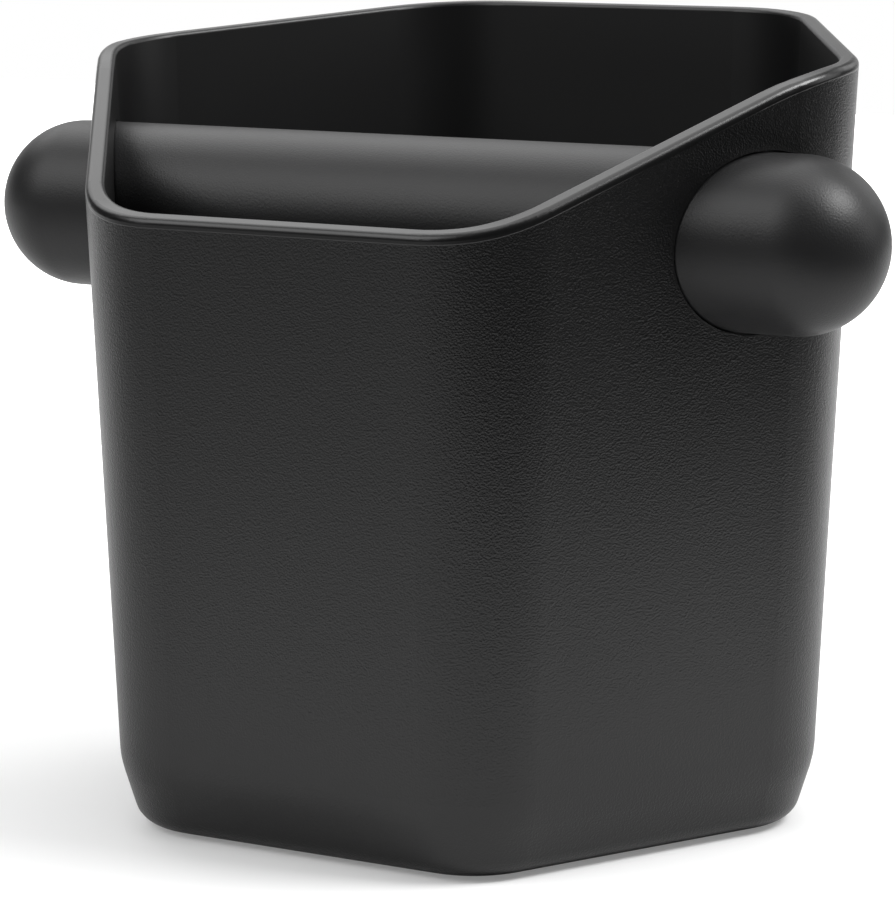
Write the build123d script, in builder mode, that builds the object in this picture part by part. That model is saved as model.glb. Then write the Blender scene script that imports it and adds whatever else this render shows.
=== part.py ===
from build123d import *
import os
from math import cos, radians, tan

os.makedirs("parts", exist_ok=True)

# Espresso knock box: a moulded tub with a six-sided plan, a rubber-covered knock bar that
# passes sideways through two round holes, and a non-slip pad under the base.
# X runs along the bar, the low side of the rim faces -Y, Z is up, the table is at Z = 0.

# Overrun of every cutting tool past the face that it cuts
overrun = 20.0

# Tub: six equal sides in plan, widening upwards by the draft of the mould
side_count = 6
base_circumradius = 73.2
base_corner_radius = 19.2
base_slope_height = 11.9
base_slope_angle = 14.5
base_slope_radius = 18.0
base_edge_radius = 4.6
floor_edge_radius = 6.0
wall_thickness = 3.55
floor_thickness = 3.6
draft_angle = 2.54
tub_bottom = 0.6

# Rim: level at the front, a ramp along the two oblique sides, then a gentle rise to the back
rim_front_height = 113.2
rim_over_bar = 13.35
rear_rise = 6.75
ramp_start = -67.8
ramp_end = -9.95
ramp_start_radius = 30.0
ramp_end_radius = 50.0
rim_outer_radius = 1.3
rim_inner_radius = 0.8
rim_face_share = 0.5

# Knock bar: one diameter from end to end, a half sphere at each end. It can slide in its
# holes and stands a little to the right of the middle
bar_radius = 15.75
bar_length = 178.8
bar_drop = 3.7
bar_offset = -18.4
bar_shift = 1.65
hole_clearance = 0.4

# Steel tube inside the bar
core_radius = 9.5
core_wall = 1.5
core_chamfer = 0.4
core_end_inset = 18.0

# Plug in each end of the tube: a spigot, a flange, then a neck and a head that key the rubber
plug_depth = 12.0
plug_flange_thickness = 2.0
plug_neck_radius = 4.0
plug_neck_length = 3.0
plug_head_radius = 6.5
plug_head_thickness = 2.0
plug_chamfer = 0.6
press_clearance = 0.02
running_fit = 0.05

# Non-slip pad, let into the underside of the tub
pad_thickness = 2.2
pad_border = 3.5
pad_corner_radius = 8.0
pad_clearance = 0.2
pad_edge_radius = 0.5

# Values that follow from the ones above
corner_share = cos(radians(180.0 / side_count))
draft_rise_share = tan(radians(draft_angle))
wall_in_plan = wall_thickness / cos(radians(draft_angle))
bar_height = rim_front_height - bar_drop
ramp_end_height = bar_height + bar_radius + rim_over_bar
rim_rear_height = ramp_end_height + rear_rise
tub_tool_height = rim_rear_height + overrun
base_apothem = base_circumradius * corner_share
inner_apothem = base_apothem + floor_thickness * draft_rise_share - wall_in_plan
inner_corner_radius = base_corner_radius - wall_in_plan + floor_thickness * draft_rise_share
slope_top = tub_bottom + base_slope_height
slope_apothem = base_apothem + base_slope_height * draft_rise_share
slope_corner_radius = base_corner_radius + base_slope_height * draft_rise_share
slope_taper = draft_angle + base_slope_angle
underside_apothem = slope_apothem - base_slope_height * tan(radians(slope_taper))
pad_seat_apothem = underside_apothem - base_edge_radius - pad_border
rear_face = base_apothem + rim_rear_height * draft_rise_share
rim_back = rear_face + overrun
bar_half = bar_length / 2
hole_radius = bar_radius + hole_clearance
dome_start = bar_half - bar_radius
core_half = bar_half - core_end_inset
core_bore = core_radius - core_wall
plug_flange_end = core_half + plug_flange_thickness
plug_neck_end = plug_flange_end + plug_neck_length
plug_end = plug_neck_end + plug_head_thickness
bar_origin = (bar_shift, bar_offset, bar_height)
bar_axis = Axis(bar_origin, (1, 0, 0))
bar_section = Plane(bar_origin, x_dir=(1, 0, 0), z_dir=(0, -1, 0))
bar_middle = Plane(bar_origin, z_dir=(1, 0, 0))


# The moulded tub. It starts as a solid tapered block whose six corners are rounded
with BuildPart() as tub:
    with BuildSketch(Plane.XY.offset(slope_top)) as outer_plan:
        RegularPolygon(slope_apothem, side_count, major_radius=False)
        fillet(outer_plan.vertices(), slope_corner_radius)
    extrude(amount=tub_tool_height, taper=-draft_angle)

    # Foot of the walls: a steeper slope that eases out of them and turns in to the underside
    extrude(outer_plan.sketch, amount=-base_slope_height, taper=slope_taper)
    foot_lines = tub.edges().filter_by_position(
        Axis.Z, slope_top - press_clearance, slope_top + press_clearance
    )
    fillet(foot_lines, base_slope_radius)

    # Rim: everything above one line, drawn in side view, is cut away across the whole width
    with BuildSketch(Plane.YZ) as above_rim:
        with BuildLine() as rim_line:
            Polyline(
                (-rim_back, rim_front_height),
                (ramp_start, rim_front_height),
                (ramp_end, ramp_end_height),
                (rear_face, rim_rear_height),
                (rim_back, rim_rear_height),
            )
            corners = rim_line.vertices().sort_by(Axis.X)
            fillet(corners[1], ramp_start_radius)
            fillet(corners[2], ramp_end_radius)
            Polyline(
                (rim_back, rim_rear_height),
                (rim_back, tub_tool_height + overrun),
                (-rim_back, tub_tool_height + overrun),
                (-rim_back, rim_front_height),
            )
        make_face()
    extrude(amount=base_circumradius + overrun, both=True, mode=Mode.SUBTRACT)

    # The rim's outer edge is rounded; the lines that cross the top from side to side are not
    top_faces = tub.faces().filter_by(lambda face: face.normal_at().Z > rim_face_share)
    top_edges = top_faces.edges()
    cross_lines = top_edges.filter_by(Axis.X).filter_by_position(
        Axis.Y, -base_apothem, base_apothem
    )
    fillet(top_edges - cross_lines, rim_outer_radius)

    # Inside: the same draft, so the wall keeps one thickness from floor to rim
    with BuildSketch(Plane.XY.offset(tub_bottom + floor_thickness)) as inner_plan:
        RegularPolygon(inner_apothem, side_count, major_radius=False)
        fillet(inner_plan.vertices(), inner_corner_radius)
    extrude(amount=tub_tool_height, taper=-draft_angle, mode=Mode.SUBTRACT)
    mouth_edges = tub.edges(Select.LAST).filter_by(
        lambda edge: edge.center().Z > rim_front_height - wall_thickness
    )
    cross_lines = mouth_edges.filter_by(Axis.X).filter_by_position(
        Axis.Y, -base_apothem, base_apothem
    )
    fillet(mouth_edges - cross_lines, rim_inner_radius)
    floor_face = tub.faces().filter_by(Axis.Z).sort_by(Axis.Z)[1]
    fillet(floor_face.edges(), floor_edge_radius)
    fillet(tub.faces().sort_by(Axis.Z).first.edges(), base_edge_radius)

    # Round holes for the bar, straight through both oblique walls
    with BuildSketch(Plane.YZ) as bar_holes:
        with Locations((bar_offset, bar_height)):
            Circle(hole_radius)
    extrude(amount=base_circumradius + overrun, both=True, mode=Mode.SUBTRACT)

    # Seat for the pad in the underside
    with BuildSketch(Plane.XY.offset(tub_bottom)) as pad_seat:
        RegularPolygon(pad_seat_apothem, side_count, major_radius=False)
        fillet(pad_seat.vertices(), pad_corner_radius)
    extrude(amount=pad_thickness - tub_bottom, mode=Mode.SUBTRACT)
tub.part.label = "tub"
export_step(tub.part, "parts/tub.step")

# Non-slip pad, bonded into its seat and standing just proud of the underside
with BuildPart() as base_pad:
    with BuildSketch() as pad_plan:
        RegularPolygon(pad_seat_apothem - pad_clearance, side_count, major_radius=False)
        fillet(pad_plan.vertices(), pad_corner_radius - pad_clearance)
    extrude(amount=pad_thickness)
    fillet(base_pad.faces().sort_by(Axis.Z).first.edges(), pad_edge_radius)
base_pad.part.label = "base_pad"
export_step(base_pad.part, "parts/base_pad.step")

# Steel tube that carries the knocks from hole to hole
with BuildPart() as bar_core:
    with BuildSketch(bar_section) as core_profile:
        with BuildLine():
            Polyline(
                (-core_half, core_bore),
                (core_half, core_bore),
                (core_half, core_radius),
                (-core_half, core_radius),
                close=True,
            )
        make_face()
        chamfer(core_profile.vertices().group_by(Axis.Z)[-1], core_chamfer)
    revolve(axis=bar_axis)
bar_core.part.label = "bar_core"
export_step(bar_core.part, "parts/bar_core.step")

# Plug that closes the tube's right end and holds the rubber dome
with BuildPart() as right_core_plug:
    with BuildSketch(bar_section) as plug_profile:
        with BuildLine() as plug_outline:
            Polyline(
                (core_half - plug_depth, 0),
                (core_half - plug_depth, core_bore - press_clearance),
                (core_half, core_bore - press_clearance),
                (core_half, core_radius),
                (plug_flange_end, core_radius),
                (plug_flange_end, plug_neck_radius),
                (plug_neck_end, plug_neck_radius),
                (plug_neck_end, plug_head_radius),
                (plug_end, plug_head_radius),
                (plug_end, 0),
                close=True,
            )
        make_face()
        spigot_corner = plug_profile.vertices().filter_by_position(
            Axis.X, -overrun, bar_shift + core_half - plug_depth / 2
        )
        chamfer(spigot_corner.sort_by(Axis.Z)[-1], plug_chamfer)
    revolve(axis=bar_axis)
right_core_plug.part.label = "right_core_plug"
export_step(right_core_plug.part, "parts/right_core_plug.step")

# The left plug is its mirror image
with BuildPart() as left_core_plug:
    mirror(right_core_plug.part, about=bar_middle)
left_core_plug.part.label = "left_core_plug"
export_step(left_core_plug.part, "parts/left_core_plug.step")

# Rubber cover in one piece from dome to dome, moulded round the tube and its plugs
with BuildPart() as bar_cover:
    with BuildSketch(bar_section) as cover_profile:
        with BuildLine() as cover_outline:
            Line((0, bar_radius), (dome_start, bar_radius))
            CenterArc((dome_start, 0), bar_radius, 0, 90)
            Polyline(
                (bar_half, 0),
                (plug_end + running_fit, 0),
                (plug_end + running_fit, plug_head_radius + running_fit),
                (plug_neck_end - running_fit, plug_head_radius + running_fit),
                (plug_neck_end - running_fit, plug_neck_radius + running_fit),
                (plug_flange_end + running_fit, plug_neck_radius + running_fit),
                (plug_flange_end + running_fit, core_radius + running_fit),
                (0, core_radius + running_fit),
            )
            mirror(about=Plane.YZ)
        make_face()
    revolve(axis=bar_axis)
bar_cover.part.label = "bar_cover"
export_step(bar_cover.part, "parts/bar_cover.step")
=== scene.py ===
# %% [markdown]
# # An espresso knock box
# A knock box catches spent coffee grounds. It is a six-sided moulded tub with a low front rim,
# and a rubber-covered bar runs sideways through two round holes in its walls. The exact solids
# come from the CAD model, which is loaded here as a fixed frame in metres: X runs along the
# bar, the low side of the rim faces -Y, Z is up and the table is at Z = 0.

import math

import bpy
from mathutils import Matrix, Vector


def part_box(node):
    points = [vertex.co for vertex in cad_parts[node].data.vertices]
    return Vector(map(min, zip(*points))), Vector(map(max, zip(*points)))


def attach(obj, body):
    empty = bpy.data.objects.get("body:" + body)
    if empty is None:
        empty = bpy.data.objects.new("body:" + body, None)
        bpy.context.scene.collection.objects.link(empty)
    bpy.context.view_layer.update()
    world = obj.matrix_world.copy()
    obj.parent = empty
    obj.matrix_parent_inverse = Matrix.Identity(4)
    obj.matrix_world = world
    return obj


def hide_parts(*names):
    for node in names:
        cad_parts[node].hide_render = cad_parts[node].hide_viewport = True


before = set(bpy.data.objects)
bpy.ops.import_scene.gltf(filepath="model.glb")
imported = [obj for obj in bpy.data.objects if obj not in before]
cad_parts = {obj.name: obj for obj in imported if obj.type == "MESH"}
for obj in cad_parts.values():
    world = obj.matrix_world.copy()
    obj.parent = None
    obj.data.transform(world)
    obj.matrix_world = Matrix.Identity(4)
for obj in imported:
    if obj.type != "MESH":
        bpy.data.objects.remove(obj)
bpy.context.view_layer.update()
scene = bpy.context.scene

# %% [markdown]
# ## Camera
# The viewpoint is a long lens, a little above the rim and to the right of the front face. A
# constraint could aim the camera at a point. Here its matrix is built instead, because that
# needs no second object: a camera looks down its own -Z axis, so three directions give it,
# right, up and back. The lens is given by its focal length on a sensor 36 mm wide.

# %% Camera
look_at = Vector((-0.003357, 0.0, 0.064112))
camera_azimuth = math.radians(28.105)
camera_elevation = math.radians(10.22)
camera_distance = 0.656432
lens_mm = 139.21
sensor_mm = 36.0

back = Vector((
    math.sin(camera_azimuth) * math.cos(camera_elevation),
    -math.cos(camera_azimuth) * math.cos(camera_elevation),
    math.sin(camera_elevation),
))
right = Vector((0.0, 0.0, 1.0)).cross(back).normalized()
up = back.cross(right)
camera_data = bpy.data.cameras.new("camera")
camera_data.lens = lens_mm
camera_data.sensor_width = sensor_mm
camera_data.sensor_fit = "HORIZONTAL"
camera_data.clip_start = 0.05
camera_data.clip_end = 20.0
camera = bpy.data.objects.new("camera", camera_data)
turn = Matrix((right, up, back)).transposed().to_4x4()
camera.matrix_world = Matrix.Translation(look_at + back * camera_distance) @ turn
scene.collection.objects.link(camera)
scene.camera = camera
print("camera at", [round(v, 4) for v in camera.matrix_world.translation])

# %% [markdown]
# ## Floor, backdrop and light
# A black object shows its form by what it reflects. Big lamps would do, but each sheen would
# need one of its own, so the surround is painted instead: a dark world with broad patches of
# soft light. One lies low behind and gives the pale upright edges. The others lie high at the
# front left, high at the back left, overhead, low at the back right and behind the far right
# corner, and give the sheens of the bar and the rim. One soft lamp makes the spot on the dome.
# The floor is a pale sheet with painted shade: its colour falls off with distance, above all
# far in front and far to the right, standing in for the falloff of light over it, because the
# walls mirror it. Seen by the camera the world is white, and the floor is lifted to the same
# white, while its shadow near the tub stays, paled by a painted light behind the left side.

# %% Helpers for node trees
def new_material(name):
    material = bpy.data.materials.new(name)
    material.use_nodes = True
    tree = material.node_tree
    tree.nodes.clear()
    output = tree.nodes.new("ShaderNodeOutputMaterial")
    return material, tree, output


def add_node(tree, kind, **values):
    node = tree.nodes.new(kind)
    for key, value in values.items():
        setattr(node, key, value)
    return node


def math_node(tree, operation, first, second=None, third=None, clamp=False):
    node = add_node(tree, "ShaderNodeMath", operation=operation, use_clamp=clamp)
    for index, value in enumerate((first, second, third)):
        if value is None:
            continue
        if isinstance(value, (int, float)):
            node.inputs[index].default_value = value
        else:
            tree.links.new(value, node.inputs[index])
    return node.outputs[0]


print("helpers ready")

# %% Patches of light and tone
def soft_patch(tree, direction, towards, low, high, dim, bright):
    dot = add_node(tree, "ShaderNodeVectorMath", operation="DOT_PRODUCT")
    dot.inputs[1].default_value = Vector(towards).normalized()
    tree.links.new(direction, dot.inputs[0])
    return soft_step(tree, dot.outputs["Value"], low, high, dim, bright)


def soft_step(tree, value, low, high, dim, bright):
    step = add_node(tree, "ShaderNodeMapRange", interpolation_type="SMOOTHSTEP")
    step.inputs["From Min"].default_value = low
    step.inputs["From Max"].default_value = high
    for socket, level in (("To Min", dim), ("To Max", bright)):
        if isinstance(level, (int, float)):
            step.inputs[socket].default_value = level
        else:
            tree.links.new(level, step.inputs[socket])
    tree.links.new(value, step.inputs["Value"])
    return step.outputs["Result"]


# Direction of each patch, the cosines where it starts and is full, its levels outside and in
world_patches = {
    "low behind": ((-0.56, 0.83, -0.60), 0.45, 0.90, 0.05, 1.15),
    "high front left": ((-0.45, -0.60, 0.66), 0.87, 0.97, 0.0, 3.2),
    "high back left": ((-0.48, 0.43, 0.77), 0.81, 0.98, 0.0, 2.3),
    "overhead": ((0.14, 0.12, 0.98), 0.88, 0.97, 0.0, 2.4),
    "low back right": ((0.80, 0.50, 0.30), 0.92, 0.99, 0.0, 1.6),
    "behind the far corner": ((0.22, 0.87, 0.42), 0.93, 0.99, 0.0, 1.5),
}
print("patches:", ", ".join(world_patches))

# %% World
white = (1.0, 1.0, 1.0, 1.0)
world = bpy.data.worlds.new("studio")
scene.world = world
world.use_nodes = True
tree = world.node_tree
tree.nodes.clear()
world_output = add_node(tree, "ShaderNodeOutputWorld")
direction = add_node(tree, "ShaderNodeTexCoord").outputs["Generated"]
surround_level, *other_levels = [
    soft_patch(tree, direction, *values) for values in world_patches.values()
]
for level in other_levels:
    surround_level = math_node(tree, "MAXIMUM", surround_level, level)
surround = add_node(tree, "ShaderNodeBackground")
surround.inputs["Color"].default_value = white
tree.links.new(surround_level, surround.inputs["Strength"])
seen = add_node(tree, "ShaderNodeBackground")
seen.inputs["Color"].default_value = white
seen.inputs["Strength"].default_value = 1.0
path = add_node(tree, "ShaderNodeLightPath")
choose = add_node(tree, "ShaderNodeMixShader")
tree.links.new(path.outputs["Is Camera Ray"], choose.inputs["Fac"])
tree.links.new(surround.outputs[0], choose.inputs[1])
tree.links.new(seen.outputs[0], choose.inputs[2])
tree.links.new(choose.outputs[0], world_output.inputs["Surface"])
print("world:", len(world_patches), "patches, white to the camera")

# %% Floor
floor_half = 1.5
floor_mesh = bpy.data.meshes.new("floor")
floor_mesh.from_pydata(
    [
        (-floor_half, -floor_half, 0.0), (floor_half, -floor_half, 0.0),
        (floor_half, floor_half, 0.0), (-floor_half, floor_half, 0.0),
    ],
    [], [(0, 1, 2, 3)],
)
floor = bpy.data.objects.new("floor", floor_mesh)
scene.collection.objects.link(floor)
floor_finish, tree, output = new_material("pale_sheet")
paper = add_node(tree, "ShaderNodeBsdfDiffuse")
floor_place = add_node(tree, "ShaderNodeTexCoord").outputs["Object"]
reach = add_node(tree, "ShaderNodeVectorMath", operation="LENGTH")
tree.links.new(floor_place, reach.inputs[0])

# Lift to white for the camera: weak near the tub, where the shadow is kept, and full far away.
# Near the tub it is stronger behind the left side, a painted light that pales the shadow there
behind_left = (-0.47, 0.87, 0.0)
to_the_right = (0.95, -0.31, 0.0)
near_lift_painted_light = soft_patch(tree, floor_place, behind_left, -0.02, 0.08, 0.21, 0.36)
camera_lift = soft_step(tree, reach.outputs["Value"], 0.10, 0.42, near_lift_painted_light, 1.0)

# Painted shade on the sheet, which the walls mirror: its colour is pale near the tub and painted
# darker far away, above all far in front and far to the right, standing in for the falloff of
# light
near_tone = 0.79
behind = soft_patch(tree, floor_place, behind_left, 0.02, 0.22, 0.45, 0.92)
painted_shade_rightward = soft_patch(tree, floor_place, to_the_right, 0.12, 0.58, 1.0, 0.06)
painted_far_falloff = math_node(tree, "MULTIPLY", behind, painted_shade_rightward)
nearness = soft_step(tree, reach.outputs["Value"], 0.14, 0.42, 1.0, 0.0)
toned = add_node(tree, "ShaderNodeMix", data_type="FLOAT")
toned.inputs["B"].default_value = near_tone
tree.links.new(nearness, toned.inputs["Factor"])
tree.links.new(painted_far_falloff, toned.inputs["A"])
painted_falloff_colour = math_node(tree, "MULTIPLY", toned.outputs["Result"], painted_shade_rightward)
tree.links.new(painted_falloff_colour, paper.inputs["Color"])

lift = add_node(tree, "ShaderNodeEmission")
tree.links.new(camera_lift, lift.inputs["Strength"])
path = add_node(tree, "ShaderNodeLightPath")
both = add_node(tree, "ShaderNodeAddShader")
choose = add_node(tree, "ShaderNodeMixShader")
tree.links.new(paper.outputs[0], both.inputs[0])
tree.links.new(lift.outputs[0], both.inputs[1])
tree.links.new(path.outputs["Is Camera Ray"], choose.inputs["Fac"])
tree.links.new(paper.outputs[0], choose.inputs[1])
tree.links.new(both.outputs[0], choose.inputs[2])
tree.links.new(choose.outputs[0], output.inputs["Surface"])
floor_mesh.materials.append(floor_finish)
print("floor:", 2 * floor_half, "m wide")

# %% Lights
def soft_light(name, place, aim, width, height, power):
    data = bpy.data.lights.new(name, "AREA")
    data.shape = "RECTANGLE"
    data.size = width
    data.size_y = height
    data.energy = power
    lamp = bpy.data.objects.new(name, data)
    lamp.location = place
    lamp.rotation_euler = (Vector(aim) - Vector(place)).to_track_quat("-Z", "Y").to_euler()
    scene.collection.objects.link(lamp)
    return lamp


soft_light("right_back", (0.66, 0.14, 0.82), (0.0, 0.0, 0.08), 0.38, 0.38, 8.0)

# %% [markdown]
# ## Shared effects
# Moulded plastic and rubber are never quite even: the mould's texture makes a fine grain, and
# handling leaves patches that are a little glossier. The nodes could be repeated in each
# material. Here each effect is a node group with named inputs, built once and placed in every
# material with its own values, so a change of the recipe reaches all of them.

# %% Grain group
def new_group(name, inputs, outputs):
    group = bpy.data.node_groups.new(name, "ShaderNodeTree")
    for label, kind, value in inputs:
        socket = group.interface.new_socket(label, in_out="INPUT", socket_type=kind)
        if value is not None:
            socket.default_value = value
    for label, kind in outputs:
        group.interface.new_socket(label, in_out="OUTPUT", socket_type=kind)
    return group, group.nodes.new("NodeGroupInput"), group.nodes.new("NodeGroupOutput")


grain_group, given, result = new_group(
    "mould_grain",
    [
        ("Place", "NodeSocketVector", None),
        ("Cells per Metre", "NodeSocketFloat", 1600.0),
        ("Unevenness", "NodeSocketFloat", 0.5),
    ],
    [("Height", "NodeSocketFloat")],
)
cells = add_node(grain_group, "ShaderNodeTexVoronoi", feature="SMOOTH_F1")
cells.inputs["Smoothness"].default_value = 0.6
cells.inputs["Randomness"].default_value = 1.0
speckle = add_node(grain_group, "ShaderNodeTexNoise")
speckle.inputs["Detail"].default_value = 3.0
speckle.inputs["Roughness"].default_value = 0.6
links = grain_group.links
links.new(given.outputs["Place"], cells.inputs["Vector"])
links.new(given.outputs["Cells per Metre"], cells.inputs["Scale"])
links.new(given.outputs["Place"], speckle.inputs["Vector"])
links.new(given.outputs["Cells per Metre"], speckle.inputs["Scale"])
blend_heights = add_node(grain_group, "ShaderNodeMix", data_type="FLOAT")
links.new(given.outputs["Unevenness"], blend_heights.inputs["Factor"])
links.new(cells.outputs["Distance"], blend_heights.inputs["A"])
links.new(speckle.outputs["Fac"], blend_heights.inputs["B"])
links.new(blend_heights.outputs["Result"], result.inputs["Height"])
print("group:", grain_group.name)

# %% Handling group
handling_group, given, result = new_group(
    "handling",
    [
        ("Place", "NodeSocketVector", None),
        ("Patches per Metre", "NodeSocketFloat", 18.0),
        ("Base Value", "NodeSocketFloat", 0.5),
        ("Spread", "NodeSocketFloat", 0.1),
    ],
    [("Value", "NodeSocketFloat")],
)
blotches = add_node(handling_group, "ShaderNodeTexNoise")
blotches.inputs["Detail"].default_value = 4.0
blotches.inputs["Roughness"].default_value = 0.55
links = handling_group.links
links.new(given.outputs["Place"], blotches.inputs["Vector"])
links.new(given.outputs["Patches per Metre"], blotches.inputs["Scale"])
centred = math_node(handling_group, "SUBTRACT", blotches.outputs["Fac"], 0.5)
varied = math_node(
    handling_group, "MULTIPLY_ADD", centred, given.outputs["Spread"], given.outputs["Base Value"]
)
links.new(varied, result.inputs["Value"])
print("group:", handling_group.name)

# %% [markdown]
# ## The tub's plastic
# The outside is a black moulding with a fine grain that stops just under the rim, where a
# narrow band is smooth. The rim and the inside are smooth too. The mask could be painted, or
# the mesh cut along the band's edge. It is worked out from the place of each point instead,
# because that needs no image and leaves the CAD mesh alone: the grain is on faces that look
# away from the middle, and below a line that follows the rim at a fixed distance.

# %% Rim line group
# The rim in side view, as the CAD model has it: two sloping lines and a level front, in metres
front_height = 0.1132
ramp_start, ramp_end = -0.0678, -0.00995
ramp_end_height = 0.1386
rear_face, rear_height = 0.06984, 0.14535
ramp_rounding, front_rounding = 0.0041, 0.0039
ramp_slope = (ramp_end_height - front_height) / (ramp_end - ramp_start)
rear_slope = (rear_height - ramp_end_height) / (rear_face - ramp_end)
rim_group, given, result = new_group(
    "below_rim", [("Place", "NodeSocketVector", None)], [("Distance", "NodeSocketFloat")]
)
split = add_node(rim_group, "ShaderNodeSeparateXYZ")
rim_group.links.new(given.outputs["Place"], split.inputs[0])
ramp = math_node(
    rim_group, "MULTIPLY_ADD", split.outputs["Y"], ramp_slope,
    front_height - ramp_slope * ramp_start,
)
rear = math_node(
    rim_group, "MULTIPLY_ADD", split.outputs["Y"], rear_slope,
    ramp_end_height - rear_slope * ramp_end,
)
lower = math_node(rim_group, "SMOOTH_MIN", ramp, rear, ramp_rounding)
rim_line = math_node(rim_group, "SMOOTH_MAX", lower, front_height, front_rounding)
below = math_node(rim_group, "SUBTRACT", rim_line, split.outputs["Z"])
rim_group.links.new(below, result.inputs["Distance"])
print("rim slopes:", round(ramp_slope, 3), round(rear_slope, 3))

# %% Tub material
def place_group(tree, group, **values):
    node = add_node(tree, "ShaderNodeGroup", node_tree=group)
    for key, value in values.items():
        socket = node.inputs[key.replace("_", " ")]
        if isinstance(value, (int, float)):
            socket.default_value = value
        else:
            tree.links.new(value, socket)
    return node


def object_place(tree):
    return add_node(tree, "ShaderNodeTexCoord").outputs["Object"]


tub_colour = (0.003, 0.003, 0.0032)
tub_ior = 1.5
looks_out = 0.004
band_start, band_end = 0.00155, 0.00175
grain_cells = 2800.0
grain_depth = 0.00009
skin_depth = 0.00010
rough_inside, rough_outside, rough_grain = 0.41, 0.29, 0.02

tub_plastic, tree, output = new_material("grained_black_moulding")
coordinates = add_node(tree, "ShaderNodeTexCoord")
place = coordinates.outputs["Object"]
flat_place = add_node(tree, "ShaderNodeVectorMath", operation="MULTIPLY")
flat_place.inputs[1].default_value = (1.0, 1.0, 0.0)
tree.links.new(place, flat_place.inputs[0])
outward = add_node(tree, "ShaderNodeVectorMath", operation="DOT_PRODUCT")
tree.links.new(flat_place.outputs[0], outward.inputs[0])
tree.links.new(coordinates.outputs["Normal"], outward.inputs[1])
outside = math_node(tree, "GREATER_THAN", outward.outputs["Value"], looks_out)
rim = place_group(tree, rim_group, Place=place)
under_band = soft_step(tree, rim.outputs["Distance"], band_start, band_end, 0.0, 1.0)
grained = math_node(tree, "MULTIPLY", outside, under_band)

# The grained skin lies a little below the smooth band
grain = place_group(
    tree, grain_group, Place=place, Cells_per_Metre=grain_cells, Unevenness=0.4
)
grain_height = math_node(tree, "MULTIPLY", grain.outputs["Height"], grain_depth)
skin_height = math_node(tree, "SUBTRACT", grain_height, skin_depth)
height = math_node(tree, "MULTIPLY", grained, skin_height)
bump = add_node(tree, "ShaderNodeBump")
bump.inputs["Strength"].default_value = 1.0
bump.inputs["Distance"].default_value = 1.0
tree.links.new(height, bump.inputs["Height"])

turned_in = soft_step(
    tree, outward.outputs["Value"], -0.04, 0.01, rough_inside, rough_outside
)
handled = place_group(tree, handling_group, Place=place, Base_Value=turned_in, Spread=0.08)
rougher = math_node(tree, "MULTIPLY_ADD", grained, rough_grain, handled.outputs["Value"])
shader = add_node(tree, "ShaderNodeBsdfPrincipled")
shader.inputs["Base Color"].default_value = (*tub_colour, 1.0)
shader.inputs["IOR"].default_value = tub_ior
tree.links.new(rougher, shader.inputs["Roughness"])
tree.links.new(bump.outputs["Normal"], shader.inputs["Normal"])
tree.links.new(shader.outputs[0], output.inputs["Surface"])
print("material:", tub_plastic.name)

# %% [markdown]
# ## Rubber and metal
# The bar's cover is smooth rubber: matte, with a broad soft highlight. The pad under the base
# is the same kind of rubber with a coarser grain. The tube and its plugs are only seen when the
# object is taken apart, and get a drawn steel and a plain moulded finish. Each could have a
# tree of its own, but rubber and plugs differ only in values, so one function builds all three.

# %% Rubber and plug materials
moulding_ior = 1.44


def plain_moulding(name, colour, roughness, spread, cells, depth):
    material, tree, output = new_material(name)
    place = object_place(tree)
    grain = place_group(tree, grain_group, Place=place, Cells_per_Metre=cells, Unevenness=0.7)
    height = math_node(tree, "MULTIPLY", grain.outputs["Height"], depth)
    bump = add_node(tree, "ShaderNodeBump")
    bump.inputs["Distance"].default_value = 1.0
    tree.links.new(height, bump.inputs["Height"])
    handled = place_group(tree, handling_group, Place=place, Base_Value=roughness, Spread=spread)
    shader = add_node(tree, "ShaderNodeBsdfPrincipled")
    shader.inputs["Base Color"].default_value = (*colour, 1.0)
    shader.inputs["IOR"].default_value = moulding_ior
    tree.links.new(handled.outputs["Value"], shader.inputs["Roughness"])
    tree.links.new(bump.outputs["Normal"], shader.inputs["Normal"])
    tree.links.new(shader.outputs[0], output.inputs["Surface"])
    return material


bar_rubber = plain_moulding(
    "smooth_matte_rubber", colour=(0.010, 0.010, 0.0105),
    roughness=0.42, spread=0.08, cells=2800.0, depth=0.00005,
)
pad_rubber = plain_moulding(
    "pad_rubber", colour=(0.018, 0.018, 0.018),
    roughness=0.70, spread=0.10, cells=900.0, depth=0.00012,
)
plug_plastic = plain_moulding(
    "plain_black_plastic", colour=(0.040, 0.040, 0.040),
    roughness=0.45, spread=0.08, cells=2000.0, depth=0.00002,
)
print("mouldings:", [m.name for m in (bar_rubber, pad_rubber, plug_plastic)])

# %% Steel material
line_depth = 0.00001
tube_steel, tree, output = new_material("drawn_steel")
place = object_place(tree)
along = add_node(tree, "ShaderNodeMapping")
along.inputs["Scale"].default_value = (60.0, 4000.0, 4000.0)
tree.links.new(place, along.inputs["Vector"])
draw_lines = add_node(tree, "ShaderNodeTexNoise")
draw_lines.inputs["Scale"].default_value = 1.0
draw_lines.inputs["Detail"].default_value = 2.0
tree.links.new(along.outputs["Vector"], draw_lines.inputs["Vector"])
line_height = math_node(tree, "MULTIPLY", draw_lines.outputs["Fac"], line_depth)
bump = add_node(tree, "ShaderNodeBump")
bump.inputs["Distance"].default_value = 1.0
tree.links.new(line_height, bump.inputs["Height"])
handled = place_group(tree, handling_group, Place=place, Base_Value=0.32, Spread=0.12)
shader = add_node(tree, "ShaderNodeBsdfPrincipled")
shader.inputs["Base Color"].default_value = (0.55, 0.55, 0.56, 1.0)
shader.inputs["Metallic"].default_value = 1.0
tree.links.new(handled.outputs["Value"], shader.inputs["Roughness"])
tree.links.new(bump.outputs["Normal"], shader.inputs["Normal"])
tree.links.new(shader.outputs[0], output.inputs["Surface"])
print("material:", tube_steel.name)

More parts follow.
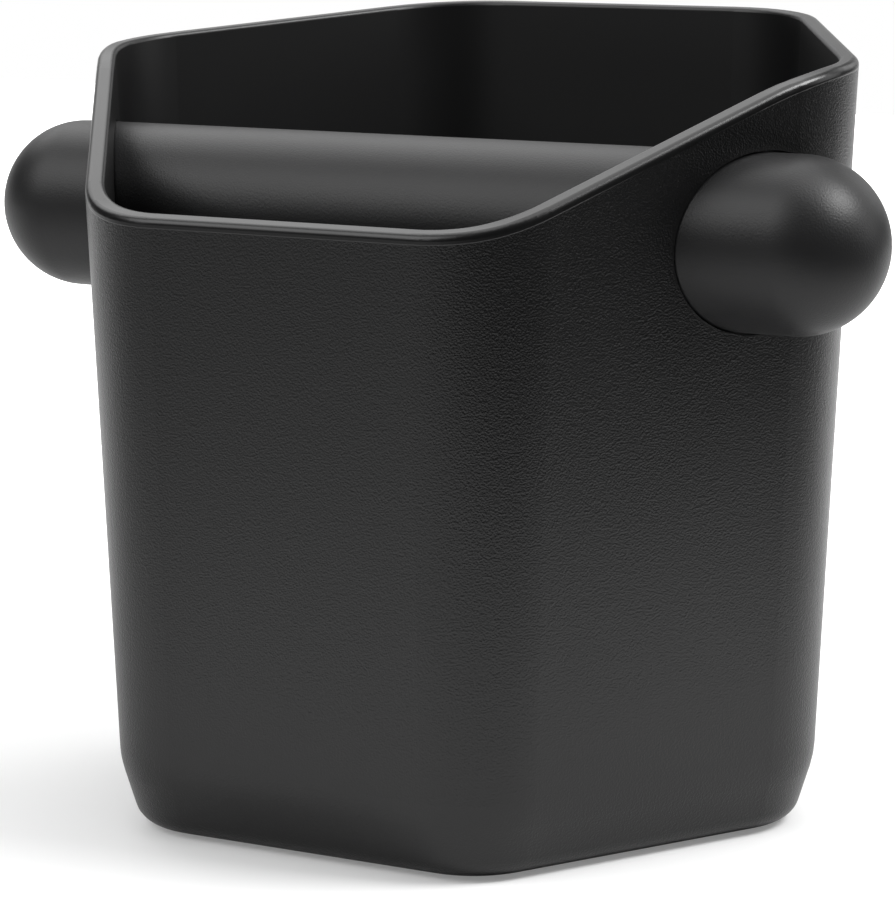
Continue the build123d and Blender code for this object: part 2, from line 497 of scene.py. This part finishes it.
# %% Finish the CAD nodes
finishes = {
    "tub": tub_plastic,
    "base_pad": pad_rubber,
    "bar_core": tube_steel,
    "left_core_plug": plug_plastic,
    "right_core_plug": plug_plastic,
    "bar_cover": bar_rubber,
}
for name, material in finishes.items():
    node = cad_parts[name]
    for slot in node.material_slots:
        slot.link = "OBJECT"
        slot.material = material
    print(name, "gets", material.name, "in", len(node.material_slots), "slot(s)")

# %% [markdown]
# ## The bar's cover
# The rubber cover has one rule: the same radius all along, closed by a half sphere at each end.
# It could be turned on a lathe from a drawn outline, or grown from that rule. Here Geometry
# Nodes grow it, so its roundness doesn't depend on the CAD model's triangles. A curve with two
# dome parts has its points spread by angle, each point gets the radius that the rule gives, and
# a circle is swept along it. The sizes are read from the CAD solid, which it then replaces.

# %% Rule for a bar with domed ends
capsule = bpy.data.node_groups.new("domed_bar", "GeometryNodeTree")
for label, kind in (
    ("Middle", "NodeSocketVector"),
    ("Half Length", "NodeSocketFloat"),
    ("Radius", "NodeSocketFloat"),
    ("Dome Steps", "NodeSocketInt"),
    ("Sides", "NodeSocketInt"),
    ("Finish", "NodeSocketMaterial"),
):
    capsule.interface.new_socket(label, in_out="INPUT", socket_type=kind)
capsule.interface.new_socket("Geometry", in_out="OUTPUT", socket_type="NodeSocketGeometry")
given = capsule.nodes.new("NodeGroupInput").outputs
result = capsule.nodes.new("NodeGroupOutput")
links = capsule.links

# Two domes of "Dome Steps" steps each, joined by one straight run
last_point = math_node(capsule, "MULTIPLY_ADD", given["Dome Steps"], 2.0, 1.0)
point_count = math_node(capsule, "ADD", last_point, 1.0)
index = add_node(capsule, "GeometryNodeInputIndex").outputs["Index"]
from_left = math_node(capsule, "DIVIDE", index, given["Dome Steps"], clamp=True)
left_rest = math_node(capsule, "SUBTRACT", last_point, index)
from_right = math_node(capsule, "DIVIDE", left_rest, given["Dome Steps"], clamp=True)
left_angle = math_node(capsule, "MULTIPLY", from_left, math.pi / 2)
right_angle = math_node(capsule, "MULTIPLY", from_right, math.pi / 2)
left_reach = math_node(capsule, "COSINE", left_angle)
right_reach = math_node(capsule, "COSINE", right_angle)
signed_left = math_node(capsule, "MULTIPLY", left_reach, -1.0)
reach = math_node(capsule, "ADD", signed_left, right_reach)
straight = math_node(capsule, "SUBTRACT", given["Half Length"], given["Radius"])
middle_point = math_node(capsule, "MULTIPLY", last_point, 0.5)
past_middle = math_node(capsule, "GREATER_THAN", index, middle_point)
which_side = math_node(capsule, "MULTIPLY_ADD", past_middle, 2.0, -1.0)
straight_part = math_node(capsule, "MULTIPLY", straight, which_side)
along = math_node(capsule, "MULTIPLY_ADD", reach, given["Radius"], straight_part)
left_ring = math_node(capsule, "SINE", left_angle)
right_ring = math_node(capsule, "SINE", right_angle)
ring = math_node(capsule, "MULTIPLY", left_ring, right_ring)
ring_radius = math_node(capsule, "MULTIPLY", ring, given["Radius"])
print("rule:", len(capsule.nodes), "nodes give each point its place and its ring")

# %% Sweep by the rule
weld_distance = 0.00001
line = add_node(capsule, "GeometryNodeCurvePrimitiveLine")
spread = add_node(capsule, "GeometryNodeResampleCurve")
links.new(line.outputs["Curve"], spread.inputs["Curve"])
links.new(point_count, spread.inputs["Count"])
place_along = add_node(capsule, "ShaderNodeCombineXYZ")
links.new(along, place_along.inputs["X"])
placed = add_node(capsule, "GeometryNodeSetPosition")
links.new(spread.outputs["Curve"], placed.inputs["Geometry"])
links.new(place_along.outputs["Vector"], placed.inputs["Position"])
circle = add_node(capsule, "GeometryNodeCurvePrimitiveCircle", mode="RADIUS")
circle.inputs["Radius"].default_value = 1.0
links.new(given["Sides"], circle.inputs["Resolution"])
swept = add_node(capsule, "GeometryNodeCurveToMesh")
links.new(placed.outputs["Geometry"], swept.inputs["Curve"])
links.new(ring_radius, swept.inputs["Scale"])
links.new(circle.outputs["Curve"], swept.inputs["Profile Curve"])
closed = add_node(capsule, "GeometryNodeMergeByDistance")
closed.inputs["Distance"].default_value = weld_distance
links.new(swept.outputs["Mesh"], closed.inputs["Geometry"])
moved = add_node(capsule, "GeometryNodeTransform")
links.new(closed.outputs["Geometry"], moved.inputs["Geometry"])
links.new(given["Middle"], moved.inputs["Translation"])
smooth = add_node(capsule, "GeometryNodeSetShadeSmooth")
links.new(moved.outputs["Geometry"], smooth.inputs["Geometry"])
realized = add_node(capsule, "GeometryNodeRealizeInstances")
links.new(smooth.outputs["Geometry"], realized.inputs["Geometry"])
finished = add_node(capsule, "GeometryNodeSetMaterial")
links.new(realized.outputs["Geometry"], finished.inputs["Geometry"])
links.new(given["Finish"], finished.inputs["Material"])
links.new(finished.outputs["Geometry"], result.inputs["Geometry"])
print("tree:", capsule.name, "with", len(capsule.nodes), "nodes")

# %% Grow the cover
cover_low, cover_high = (Vector(corner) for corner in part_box("bar_cover"))
cover_sizes = {
    "Middle": (cover_low + cover_high) / 2,
    "Half Length": (cover_high.x - cover_low.x) / 2,
    "Radius": (cover_high.z - cover_low.z) / 2,
    "Dome Steps": 32,
    "Sides": 128,
    "Finish": bar_rubber,
}
seed_mesh = bpy.data.meshes.new("cover_seed")
grower = bpy.data.objects.new("cover_grower", seed_mesh)
scene.collection.objects.link(grower)
modifier = grower.modifiers.new("grow", "NODES")
modifier.node_group = capsule
for item in capsule.interface.items_tree:
    if item.in_out == "INPUT":
        modifier[item.identifier] = cover_sizes[item.name]
evaluated = grower.evaluated_get(bpy.context.evaluated_depsgraph_get())
cover_mesh = bpy.data.meshes.new_from_object(evaluated)
bpy.data.objects.remove(grower)
cover = bpy.data.objects.new("bar_cover_skin", cover_mesh)
scene.collection.objects.link(cover)
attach(cover, "bar_cover")
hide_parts("bar_cover")
cover_spans = [round(v, 5) for v in cover.dimensions]
print("cover:", len(cover_mesh.vertices), "points, spans", cover_spans)

# %% [markdown]
# ## Finish
# The view transform is Standard, because a colour then renders as it is written.

# %% Finish
scene.view_settings.view_transform = "Standard"
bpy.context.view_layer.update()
